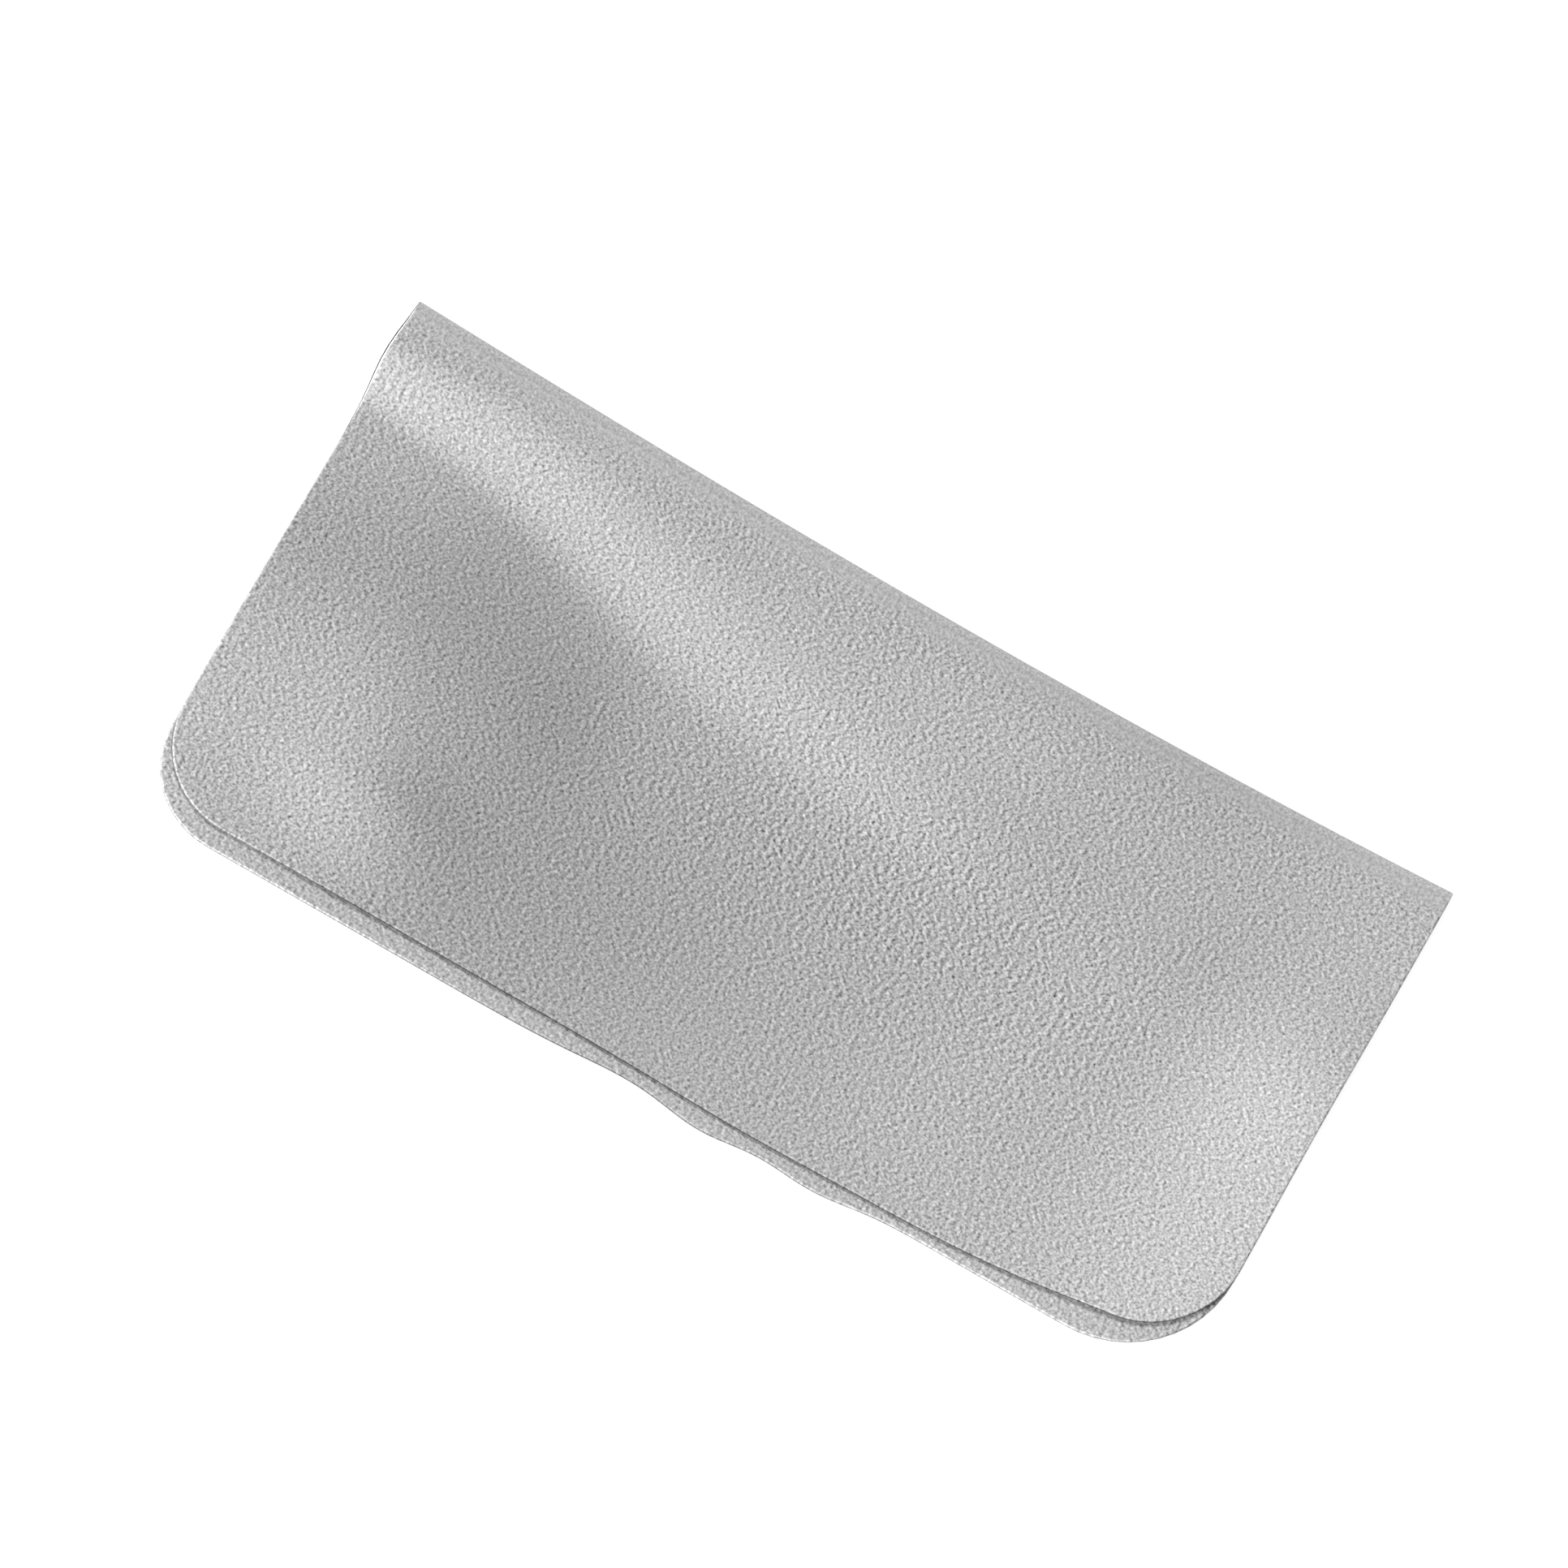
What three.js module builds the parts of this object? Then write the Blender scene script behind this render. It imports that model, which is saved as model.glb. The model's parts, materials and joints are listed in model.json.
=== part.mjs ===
// A soft chamois wiping cloth, cut nearly square with rounded corners and folded once in half.
// It lies on a table: X runs along the fold, Y across it with the fold at +Y, and Z is up.
// The sheet is a sandwich of two grey suede plies bonded to a thin white core.
// Where the sheet goes round the fold it is divided at the fold lines into narrow strips,
// each turning on the one before it, so that the upper leaf can swing over and lie open flat.

import * as THREE from "three";

// The sheet, in millimetres
const CLOTH_LENGTH = 160; // side along the fold
const CLOTH_WIDTH = 160; // side across the fold, laid out flat
const FACE_PLY = 0.3;
const CORE_PLY = 0.2;
const BOND_GAP = 0.02; // adhesive line between a ply and the core

// The fold
const ROLL_RISE = 3.8; // from the middle of the lower leaf to the middle of the upper one
const FOLD_STRIPS = 5;
const STRIP_GAP = 0.1; // left free at each fold line

// The lower leaf
const LOWER_LEAF = 78.3; // from its fold line to its free edge, at the left
const LOWER_DRAW_IN = 1.55; // how much shorter it lies at the right
const LOWER_DRAW_IN_SHARES = [0.31, 0.75]; // where along the fold that begins and ends
const LOWER_LEFT_CORNER = 12;
const LOWER_RIGHT_CORNER = 17;
const EDGE_WAVE = 1.1; // how far a small wave pushes the free edge out
const EDGE_WAVE_SPREAD = 4.9;
const EDGE_WAVE_SHARES = [0.549, 0.655]; // where along the fold the waves are

// The upper leaf
const FORM_TAKE_UP = 1; // width of cloth that its rises and falls take up
const UPPER_DRAW_IN = 4.5;
const UPPER_DRAW_IN_SHARE = 0.7; // where along the fold its free edge starts to draw in
const UPPER_LEFT_CORNER = 11;
const UPPER_RIGHT_CORNER = 13;
const REST_GAP = 0.3; // least air between the leaves

// The diagonal ridge where the upper leaf comes down off the fold, and how much of the fold's
// height it keeps at its right edge
const RIDGE_FROM_FOLD_LEFT = 10;
const RIDGE_FROM_FOLD_RIGHT = 18;
const RIDGE_TURN_SHARES = [0.08, 0.4]; // where along the fold it moves from the one to the other
const RIDGE_WIDTH_LEFT = 10;
const RIDGE_WIDTH_RIGHT = 45;
const RIDGE_KEPT_SHARE = 0.26;
const RIDGE_KEPT_START_SHARE = 0.7; // where along the fold it starts to keep some of it

// The soft swells of the upper leaf beyond the ridge. Each rises by a share of the fold's
// height, and stands and spreads by shares of the leaf's length and width. The turn is in degrees.
const SWELL_SHARES = [
  { rise: 0.85, along: 0.175, across: 0.85, spreadAlong: 0.054, spreadAcross: 0.29, turn: -15 },
  { rise: 0.71, along: 1, across: 0.37, spreadAlong: 0.075, spreadAcross: 0.155, turn: 11 },
  { rise: 0.47, along: 0.435, across: 0.16, spreadAlong: 0.224, spreadAcross: 0.11, turn: 17 },
  { rise: 0.9, along: 0, across: 0.585, spreadAlong: 0.1, spreadAcross: 0.14, turn: -24 },
  { rise: 0.56, along: 0.835, across: 0.31, spreadAlong: 0.05, spreadAcross: 0.34, turn: 25 },
  { rise: 0.55, along: 0.235, across: 0.585, spreadAlong: 0.054, spreadAcross: 0.135, turn: -6 },
];
const EDGE_SETTLE_SHARE = 0.8; // how much of the swells is pressed flat at the free edge
const EDGE_SETTLE_START_SHARE = 0.79; // where across the leaf that starts

// How finely the surfaces are divided
const CORNER_STEPS = 4;
const UPPER_MIDDLE_STEPS = 20;
const LOWER_MIDDLE_STEPS = 34;
const UPPER_ROWS = 18;

// Sizes that follow from those above
const SHEET = 2 * FACE_PLY + CORE_PLY + 2 * BOND_GAP;
const HALF_SHEET = SHEET / 2;
const HALF_LENGTH = CLOTH_LENGTH / 2;
const HINGE_BEND = Math.PI / (FOLD_STRIPS + 1);
const STRIP_BENDS = Array.from({ length: FOLD_STRIPS }, (_, index) => (index + 1) * HINGE_BEND);
const total = (values, measure) => values.reduce((sum, value) => sum + measure(value), 0);
const STRIP_PITCH = ROLL_RISE / total(STRIP_BENDS, Math.sin);
const ROLL_REACH = STRIP_PITCH * total(STRIP_BENDS, (bend) => Math.max(0, Math.cos(bend))) + HALF_SHEET;
const UPPER_LEAF = CLOTH_WIDTH - LOWER_LEAF - FOLD_STRIPS * STRIP_PITCH - FORM_TAKE_UP;
const ROLL_DROP = ROLL_RISE - SHEET - REST_GAP; // from the fold's top down to the rest on the lower leaf

// Every layer lies between two distances from the middle of the sheet. The inner side of the
// fold is positive, the outer side is negative.
const LAYERS = {
  outer_ply: [-HALF_SHEET, -HALF_SHEET + FACE_PLY],
  core: [-CORE_PLY / 2, CORE_PLY / 2],
  inner_ply: [HALF_SHEET - FACE_PLY, HALF_SHEET],
};

const suede = new THREE.MeshStandardMaterial({ color: 0xb8b8b8, roughness: 0.95, metalness: 0 });
const core = new THREE.MeshStandardMaterial({ color: 0xf3f3f1, roughness: 0.8, metalness: 0 });
const MATERIALS = { outer_ply: suede, core, inner_ply: suede };

const mix = (from, to, share) => from + (to - from) * share;
const bell = (distance, spread) => Math.exp(-((distance / spread) ** 2) / 2);
const alongShare = (x) => (x + HALF_LENGTH) / CLOTH_LENGTH;

// How far a layer stops short of a fold line. The inner side is mitred, so that neighbours
// close up without touching when folded and lie square to each other when open.
function setback(offset) {
  return STRIP_GAP / 2 + Math.max(0, offset) * Math.tan(HINGE_BEND / 2);
}

// Places along the fold, closer together round the two corners, each with the width that the
// rounded corner takes off the leaf there.
function columnsOf(leftCorner, rightCorner, middleSteps) {
  const columns = [];
  const round = (side, corner, step) => {
    const turn = (Math.PI / 2) * (step / CORNER_STEPS);
    const inwards = corner * (1 - Math.cos(turn));
    columns.push({ x: side * (HALF_LENGTH - inwards), cut: corner * (1 - Math.sin(turn)) });
  };
  for (let step = 0; step < CORNER_STEPS; step += 1) round(-1, leftCorner, step);
  for (let step = 0; step <= middleSteps; step += 1) {
    const x = mix(-HALF_LENGTH + leftCorner, HALF_LENGTH - rightCorner, step / middleSteps);
    columns.push({ x, cut: 0 });
  }
  for (let step = CORNER_STEPS - 1; step >= 0; step -= 1) round(1, rightCorner, step);
  return columns;
}

function lowerReach(x) {
  const drawnIn = LOWER_DRAW_IN * THREE.MathUtils.smoothstep(alongShare(x), ...LOWER_DRAW_IN_SHARES);
  const waveAt = (share) => bell(x - mix(-HALF_LENGTH, HALF_LENGTH, share), EDGE_WAVE_SPREAD);
  return LOWER_LEAF - drawnIn + EDGE_WAVE * total(EDGE_WAVE_SHARES, waveAt);
}

function upperReach(x) {
  const past = Math.max(0, alongShare(x) - UPPER_DRAW_IN_SHARE) / (1 - UPPER_DRAW_IN_SHARE);
  return UPPER_LEAF - UPPER_DRAW_IN * past ** 2;
}

// How high one swell stands at a place of the upper leaf.
function swellAt(x, distance, shares) {
  const turn = THREE.MathUtils.degToRad(shares.turn);
  const offX = x - mix(-HALF_LENGTH, HALF_LENGTH, shares.along);
  const offY = distance - shares.across * UPPER_LEAF;
  const lengthwise = Math.cos(turn) * offX + Math.sin(turn) * offY;
  const widthwise = Math.cos(turn) * offY - Math.sin(turn) * offX;
  const fading = bell(lengthwise, shares.spreadAlong * CLOTH_LENGTH);
  return shares.rise * ROLL_DROP * fading * bell(widthwise, shares.spreadAcross * UPPER_LEAF);
}

// How far the middle of the upper leaf lies below the top of the fold: it falls off the roll
// across the diagonal ridge, and beyond that the swells lift it again.
function upperSag(x, distance) {
  const { smoothstep } = THREE.MathUtils;
  const along = alongShare(x);
  const ridge = mix(RIDGE_FROM_FOLD_LEFT, RIDGE_FROM_FOLD_RIGHT, smoothstep(along, ...RIDGE_TURN_SHARES));
  const width = mix(RIDGE_WIDTH_LEFT, RIDGE_WIDTH_RIGHT, along);
  const fall = smoothstep(distance, ridge - width / 2, ridge + width / 2);
  const kept = RIDGE_KEPT_SHARE * smoothstep(along, RIDGE_KEPT_START_SHARE, 1);
  const settled = EDGE_SETTLE_SHARE * smoothstep(distance, EDGE_SETTLE_START_SHARE * UPPER_LEAF, UPPER_LEAF);
  const swells = total(SWELL_SHARES, (shares) => swellAt(x, distance, shares));
  return fall * (ROLL_DROP * (1 - kept) - swells * (1 - settled));
}

// The unit direction square to the upper leaf's middle at a place.
function upperNormal(x, distance) {
  const acrossX = (upperSag(x + HALF_SHEET, distance) - upperSag(x - HALF_SHEET, distance)) / SHEET;
  const acrossY = (upperSag(x, distance + HALF_SHEET) - upperSag(x, distance - HALF_SHEET)) / SHEET;
  return new THREE.Vector3(-acrossX, -acrossY, 1).normalize();
}

// A closed body between two offsets of a surface that is divided into columns and rows.
function slab(columnCount, rowCount, pointAt, [nearOffset, farOffset]) {
  const positions = [];
  for (const offset of [nearOffset, farOffset]) {
    for (let column = 0; column < columnCount; column += 1) {
      for (let row = 0; row < rowCount; row += 1) {
        positions.push(...pointAt(column, row, offset).toArray());
      }
    }
  }
  const far = columnCount * rowCount;
  const vertex = (column, row) => column * rowCount + row;
  const faces = [];
  const quad = (a, b, c, d) => faces.push(a, b, c, a, c, d);
  for (let column = 1; column < columnCount; column += 1) {
    for (let row = 1; row < rowCount; row += 1) {
      const [a, b] = [vertex(column - 1, row - 1), vertex(column, row - 1)];
      const [c, d] = [vertex(column, row), vertex(column - 1, row)];
      quad(far + a, far + b, far + c, far + d);
      faces.push(a, c, b, a, d, c);
    }
  }
  const lastColumn = columnCount - 1;
  const lastRow = rowCount - 1;
  for (let column = 1; column < columnCount; column += 1) {
    const [a, b] = [vertex(column - 1, 0), vertex(column, 0)];
    const [c, d] = [vertex(column - 1, lastRow), vertex(column, lastRow)];
    quad(a, b, far + b, far + a);
    quad(d, c, far + c, far + d);
  }
  for (let row = 1; row < rowCount; row += 1) {
    const [a, b] = [vertex(0, row - 1), vertex(0, row)];
    const [c, d] = [vertex(lastColumn, row - 1), vertex(lastColumn, row)];
    quad(b, a, far + a, far + b);
    quad(c, d, far + d, far + c);
  }
  const geometry = new THREE.BufferGeometry();
  geometry.setAttribute("position", new THREE.Float32BufferAttribute(positions, 3));
  geometry.setIndex(faces);
  return geometry;
}

// The three layers of one length of sheet, each a separate named mesh.
function layeredSheet(name, makeGeometry) {
  const group = new THREE.Group();
  for (const [layer, offsets] of Object.entries(LAYERS)) {
    const mesh = new THREE.Mesh(makeGeometry(offsets), MATERIALS[layer]);
    mesh.name = `${name}_${layer}`;
    group.add(mesh);
  }
  return group;
}

// The lower leaf lies flat. It reaches from its free edge to the first fold line, where Y is 0.
function lowerLeaf() {
  const columns = columnsOf(LOWER_LEFT_CORNER, LOWER_RIGHT_CORNER, LOWER_MIDDLE_STEPS);
  const pointAt = (column, row, offset) => {
    const { x, cut } = columns[column];
    return new THREE.Vector3(x, row === 0 ? cut - lowerReach(x) : -setback(offset), offset);
  };
  return layeredSheet("lower_leaf", (offsets) => slab(columns.length, 2, pointAt, offsets));
}

// One strip of the fold reaches from its own fold line, where Y is 0, to the next one.
function foldStrip(number) {
  const pointAt = (column, row, offset) => {
    const y = row === 0 ? setback(offset) : STRIP_PITCH - setback(offset);
    return new THREE.Vector3(column === 0 ? -HALF_LENGTH : HALF_LENGTH, y, offset);
  };
  return layeredSheet(`fold_strip_${number}`, (offsets) => slab(2, 2, pointAt, offsets));
}

// The upper leaf reaches from the last fold line, where Y is 0, to its own free edge.
function upperLeaf() {
  const columns = columnsOf(UPPER_LEFT_CORNER, UPPER_RIGHT_CORNER, UPPER_MIDDLE_STEPS);
  const pointAt = (column, row, offset) => {
    const { x, cut } = columns[column];
    const y = row === 0 ? setback(offset) : (upperReach(x) - cut) * (row / UPPER_ROWS);
    const middle = new THREE.Vector3(x, y, upperSag(x, y));
    return middle.addScaledVector(upperNormal(x, y), offset);
  };
  return layeredSheet("upper_leaf", (offsets) => slab(columns.length, UPPER_ROWS + 1, pointAt, offsets));
}

// Each length of sheet hangs on the one before it and is turned on by one hinge bend.
const cloth = new THREE.Group();
const lowerColumns = columnsOf(LOWER_LEFT_CORNER, LOWER_RIGHT_CORNER, LOWER_MIDDLE_STEPS);
const longestReach = Math.max(...lowerColumns.map(({ x, cut }) => lowerReach(x) - cut));
cloth.position.set(0, (longestReach - ROLL_REACH) / 2, HALF_SHEET);
cloth.add(lowerLeaf());

let carrier = cloth;
for (let number = 1; number <= FOLD_STRIPS + 1; number += 1) {
  const hinge = new THREE.Group();
  hinge.position.y = number === 1 ? 0 : STRIP_PITCH;
  hinge.rotation.x = HINGE_BEND;
  hinge.add(number > FOLD_STRIPS ? upperLeaf() : foldStrip(number));
  carrier.add(hinge);
  carrier = hinge;
}

const model = new THREE.Group();
model.add(cloth);

export default model;
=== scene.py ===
# %% [markdown]
# # A soft chamois wiping cloth, folded once
#
# The real cloth is a thin sandwich: a grey suede ply on each side of a white felt core, cut
# nearly square with rounded corners and folded once in half. It lies on a table, so it has a
# lower leaf, a loose rolled fold and an upper leaf that has settled into soft rises and falls.
#
# It could be draped by a cloth simulation. It is built from a few smooth formulas instead,
# because one formula for the whole sheet keeps the plies an even thickness, lets the pieces
# meet without a seam, and gives the same folds on every run.

import json
from collections import namedtuple
from math import cos, pi, radians, sin, tan

import bpy
import numpy as np
from mathutils import Matrix, Vector


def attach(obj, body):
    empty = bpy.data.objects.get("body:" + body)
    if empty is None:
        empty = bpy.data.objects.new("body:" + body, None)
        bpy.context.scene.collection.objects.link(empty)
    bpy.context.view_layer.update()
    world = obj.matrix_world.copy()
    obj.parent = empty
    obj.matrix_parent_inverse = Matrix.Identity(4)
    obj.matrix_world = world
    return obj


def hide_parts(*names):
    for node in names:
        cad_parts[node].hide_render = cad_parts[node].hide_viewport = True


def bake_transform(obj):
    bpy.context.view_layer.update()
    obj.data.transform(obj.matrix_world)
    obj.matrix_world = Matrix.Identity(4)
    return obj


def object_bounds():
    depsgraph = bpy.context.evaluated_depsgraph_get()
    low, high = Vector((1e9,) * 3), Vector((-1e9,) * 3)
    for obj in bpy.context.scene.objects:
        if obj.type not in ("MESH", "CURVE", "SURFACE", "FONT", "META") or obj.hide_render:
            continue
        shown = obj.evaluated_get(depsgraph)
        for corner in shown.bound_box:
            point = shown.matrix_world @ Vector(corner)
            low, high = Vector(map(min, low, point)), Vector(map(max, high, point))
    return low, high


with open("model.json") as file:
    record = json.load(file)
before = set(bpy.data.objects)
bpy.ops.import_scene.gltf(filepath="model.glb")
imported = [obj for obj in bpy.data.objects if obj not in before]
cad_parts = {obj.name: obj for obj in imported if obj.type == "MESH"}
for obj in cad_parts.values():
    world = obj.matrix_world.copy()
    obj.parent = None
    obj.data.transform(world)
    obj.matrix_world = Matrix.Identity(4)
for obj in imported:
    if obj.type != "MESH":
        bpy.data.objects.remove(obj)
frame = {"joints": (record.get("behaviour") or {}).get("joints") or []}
cad_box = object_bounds()
MM = 0.001


def in_mm(box):
    return [tuple(round(value / MM, 2) for value in corner) for corner in box]


print("CAD box in mm:", in_mm(cad_box))

# %% [markdown]
# ## The rolled fold
#
# A thick soft sheet does not fold to a knife edge, it rolls round. The roll could be any free
# curve, but the cloth has to open at the hinges of the frame, and these stand at the corners of a
# half polygon. So the smooth roll is the circle inside that polygon: it touches the middle of
# every strip, and each hinge gets one arc of it. That way a hinge can straighten its own arc and
# the arcs still meet.

# %% Where the fold lines and the roll are
fold_lines = [Vector(joint["pos_m"]) for joint in frame["joints"]]
bend = pi / len(fold_lines)
pitch = (fold_lines[1] - fold_lines[0]).length
half_sheet = fold_lines[0].z
roll_radius = pitch / 2 / tan(bend / 2)
roll_y = fold_lines[0].y - pitch / 2
roll_z = half_sheet + roll_radius
roll_length = pi * roll_radius
arc_length = roll_length / len(fold_lines)
print(f"{len(fold_lines)} fold lines, {pitch / MM:.2f} mm apart")
print(f"Roll radius {roll_radius / MM:.2f} mm, sheet {2 * half_sheet / MM:.2f} mm thick")

# %% [markdown]
# ## Two curves for all that is soft
#
# Soft cloth has no sharp change in its form. Each wave, swell and fade on it is one of two curves:
# a smooth step from 0 to 1, or a bell. Splines could draw them too, but every point of a spline
# has to be looked after, and a formula has only a place and a width.

# %% A smooth step, a bell and a mix
def smoothstep(value, start, end):
    share = np.clip((value - start) / (end - start), 0, 1)
    return share * share * (3 - 2 * share)


def bell(distance, spread):
    return np.exp(-((distance / spread) ** 2) / 2)


def mix(pair, share):
    return pair[0] + (pair[1] - pair[0]) * share


print(f"A quarter of the way: smooth step {smoothstep(0.25, 0, 1):.2f}, bell {bell(0.25, 1):.2f}")

# %% [markdown]
# ## The outline of the two leaves
#
# The cloth was cut with rounded corners, and its free edges have drawn in and waved a little with
# use. The outline could be a list of points, but each leaf's reach is easier to change as a short
# formula along the fold. Its values are the same as the sizes of the solid model, with a few small
# waves that only show in the soft sheet.

# %% The outline
HALF_LENGTH = cad_box[1].x
LENGTH = 2 * HALF_LENGTH
LOWER_LEAF = 78.3 * MM
LOWER_DRAW_IN = 1.55 * MM
LOWER_DRAW_IN_SHARES = (0.31, 0.75)
LOWER_CORNERS = (12 * MM, 17 * MM)
UPPER_LEAF = 75.61 * MM
UPPER_DRAW_IN = 4.5 * MM
UPPER_DRAW_IN_SHARE = 0.7
UPPER_CORNERS = (12.6 * MM, 12 * MM)
# How far each small wave pushes the free edge out, its place as a share of the fold, and its spread
LOWER_WAVES = ((-0.5 * MM, 0.47, 6 * MM), (1.1 * MM, 0.549, 4.9 * MM), (1.1 * MM, 0.655, 5.2 * MM))
UPPER_WAVES = ((0.45 * MM, 0.58, 11 * MM), (-0.42 * MM, 0.92, 8 * MM))


def along(x):
    """Where x is along the fold, as a share of its length."""
    return (x + HALF_LENGTH) / LENGTH


def place(share):
    """The x of a share of the fold's length."""
    return (2 * share - 1) * HALF_LENGTH


def waves_at(x, waves):
    return sum(push * bell(x - place(share), spread) for push, share, spread in waves)


def lower_reach(x):
    drawn_in = LOWER_DRAW_IN * smoothstep(along(x), *LOWER_DRAW_IN_SHARES)
    return LOWER_LEAF - drawn_in + waves_at(x, LOWER_WAVES)


def upper_reach(x):
    past = np.maximum(0, along(x) - UPPER_DRAW_IN_SHARE) / (1 - UPPER_DRAW_IN_SHARE)
    return UPPER_LEAF - UPPER_DRAW_IN * past**2 + waves_at(x, UPPER_WAVES)


print(f"Mid reach: lower leaf {lower_reach(0) / MM:.1f} mm, upper leaf {upper_reach(0) / MM:.1f} mm")

# %% [markdown]
# ## The form of the upper leaf
#
# The upper leaf comes off the roll at its full height and falls to the lower leaf across a
# diagonal ridge: steep and close to the fold on the left, wide and slow on the right. Beyond the
# ridge it still holds a few soft swells.
#
# They could be pushed up by hand in sculpt mode. Here a swell is a bell curve in two directions,
# turned a little, and the leaf settles flatter again towards its free edge. Six of them are enough
# for the broad light and shade, and they are the same six as in the solid model.

# %% The rises and falls of the upper leaf
ROLL_DROP = 2.66 * MM
RIDGE_FROM_FOLD = (10 * MM, 18 * MM)
RIDGE_TURN_SHARES = (0.08, 0.4)
RIDGE_WIDTH = (10 * MM, 45 * MM)
RIDGE_KEPT_SHARE = 0.26
RIDGE_KEPT_START_SHARE = 0.7
EDGE_SETTLE_SHARE = 0.8
EDGE_SETTLE_START_SHARE = 0.79
# Shares: rise, place along and across the leaf, spread along and across it. Then a turn in degrees
SWELLS = (
    (0.85, 0.175, 0.85, 0.054, 0.29, -15),
    (0.71, 1, 0.37, 0.075, 0.155, 11),
    (0.47, 0.435, 0.16, 0.224, 0.11, 17),
    (0.9, 0, 0.585, 0.1, 0.14, -24),
    (0.56, 0.835, 0.31, 0.05, 0.34, 25),
    (0.55, 0.235, 0.585, 0.054, 0.135, -6),
)


def swell(x, distance, rise, at_along, at_across, spread_along, spread_across, turn):
    c, s = cos(radians(turn)), sin(radians(turn))
    off_x, off_y = x - place(at_along), distance - at_across * UPPER_LEAF
    lengthwise = bell(c * off_x + s * off_y, spread_along * LENGTH)
    widthwise = bell(c * off_y - s * off_x, spread_across * UPPER_LEAF)
    return rise * ROLL_DROP * lengthwise * widthwise


def upper_sag(x, distance):
    """How far the upper leaf lies below the top of the fold, at a distance from the last fold line."""
    a = along(x)
    ridge = mix(RIDGE_FROM_FOLD, smoothstep(a, *RIDGE_TURN_SHARES))
    width = mix(RIDGE_WIDTH, a)
    fall = smoothstep(distance, np.maximum(ridge - width / 2, pitch / 2), ridge + width / 2)
    kept = RIDGE_KEPT_SHARE * smoothstep(a, RIDGE_KEPT_START_SHARE, 1)
    settled = EDGE_SETTLE_SHARE * smoothstep(distance, EDGE_SETTLE_START_SHARE * UPPER_LEAF, UPPER_LEAF)
    swells = sum(swell(x, distance, *shares) for shares in SWELLS)
    return fall * (ROLL_DROP * (1 - kept) - swells * (1 - settled))


print(f"The middle of the free edge lies {upper_sag(0, UPPER_LEAF) / MM:.2f} mm below the roll's top")

# %% [markdown]
# ## One surface for the whole sheet
#
# A place on the cloth has two numbers, as if it were laid out flat: x along the fold, and v across
# it. v is 0 where the lower leaf meets the roll, negative over the lower leaf and positive round
# the roll and over the upper leaf. The leaves and the roll could be three surfaces, but then their
# joins would need fitting. With one formula there is nothing to fit.
#
# The fold is also a little hollow in its middle, where the cloth was last pressed, and that bow
# fades out over the leaves. The left and right edges wander by half a millimetre.

# %% From flat cloth to folded cloth
FOLD_BOW = 1.78 * MM
FOLD_BOW_SKEW_SHARE = 0.15
FOLD_BOW_FADE = 40 * MM
SIDE_FADE = 25 * MM
# A side's small shifts: -1 left or 1 right, how far it stands out, how far from the roll, its spread
SIDE_SHIFTS = (
    (-1, 0.5 * MM, 6 * MM, 3.6 * MM),
    (-1, 0.44 * MM, 64 * MM, 30 * MM),
    (1, -0.2 * MM, 35 * MM, 10 * MM),
)


def fold_bow(x):
    a = along(x)
    return FOLD_BOW * 4 * a * (1 - a) * (1 + FOLD_BOW_SKEW_SHARE * (2 * a - 1))


def near_side(x, side):
    """1 at a side edge (-1 is the left, 1 the right), and 0 a short way in from it."""
    return 1 - smoothstep(HALF_LENGTH - side * x, 0, SIDE_FADE)


def side_shift(x, off_roll):
    shift = 0
    for side, push, at, spread in SIDE_SHIFTS:
        shift = shift + side * push * bell(off_roll - at, spread) * near_side(x, side)
    return shift


def middle_of_sheet(x, v):
    x, v = np.broadcast_arrays(np.asarray(x, float), np.asarray(v, float))
    turn = np.clip(v / roll_radius, 0, pi)
    past = np.maximum(v - roll_length, 0)
    off_roll = past + np.maximum(-v, 0)
    y = roll_y + roll_radius * np.sin(turn) - off_roll
    y = y - fold_bow(x) * (1 - smoothstep(off_roll, 0, FOLD_BOW_FADE))
    z = roll_z - roll_radius * np.cos(turn)
    z = z - np.where(v > roll_length, upper_sag(x, past + pitch / 2), 0)
    return np.stack([x + side_shift(x, off_roll), y, z], -1)


print(f"The fold is hollow by {fold_bow(0) / MM:.2f} mm in its middle")

# %% [markdown]
# ## A place in the thickness
#
# The three layers lie at different depths, and a point at a depth stands off the sheet's middle,
# square to it. That direction could be worked out by hand for each formula. Two short steps on the
# surface give it for any of them, which is simpler and exact enough here.
#
# At the left end of the roll the layers have also slipped a little past each other, as the pages
# of a bent book do. That is what shows the white core there as a bright line.

# %% A point at a depth in the sheet
NORMAL_STEP = 0.05 * MM
# The slip is strongest this far before the roll, and fades over the leaf and up the roll
SLIP_FROM_ROLL = 2 * MM
SLIP_SPREAD_ON_LEAF = 8.5 * MM
SLIP_SPREAD_ON_ROLL = 2.8 * MM


def unit(vectors):
    return vectors / np.linalg.norm(vectors, axis=-1, keepdims=True)


def along_sheet(x, v):
    """The direction of the cloth from the lower leaf's free edge to the upper one's."""
    return unit(middle_of_sheet(x, v + NORMAL_STEP) - middle_of_sheet(x, v - NORMAL_STEP))


def inner_normal(x, v):
    """The direction square to the sheet, towards the inside of the fold."""
    along_fold = middle_of_sheet(x + NORMAL_STEP, v) - middle_of_sheet(x - NORMAL_STEP, v)
    return unit(np.cross(along_fold, along_sheet(x, v)))


def on_sheet(x, v, depth, slip=0):
    """A point at a depth in the sheet, in a layer that has slipped out at the left end of the roll."""
    from_slip = v + SLIP_FROM_ROLL
    spread = np.where(from_slip < 0, SLIP_SPREAD_ON_LEAF, SLIP_SPREAD_ON_ROLL)
    slipped = slip * bell(from_slip, spread) * near_side(x, -1)
    return middle_of_sheet(x, v) + inner_normal(x, v) * depth - slipped[..., None] * np.array([1, 0, 0])


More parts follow.
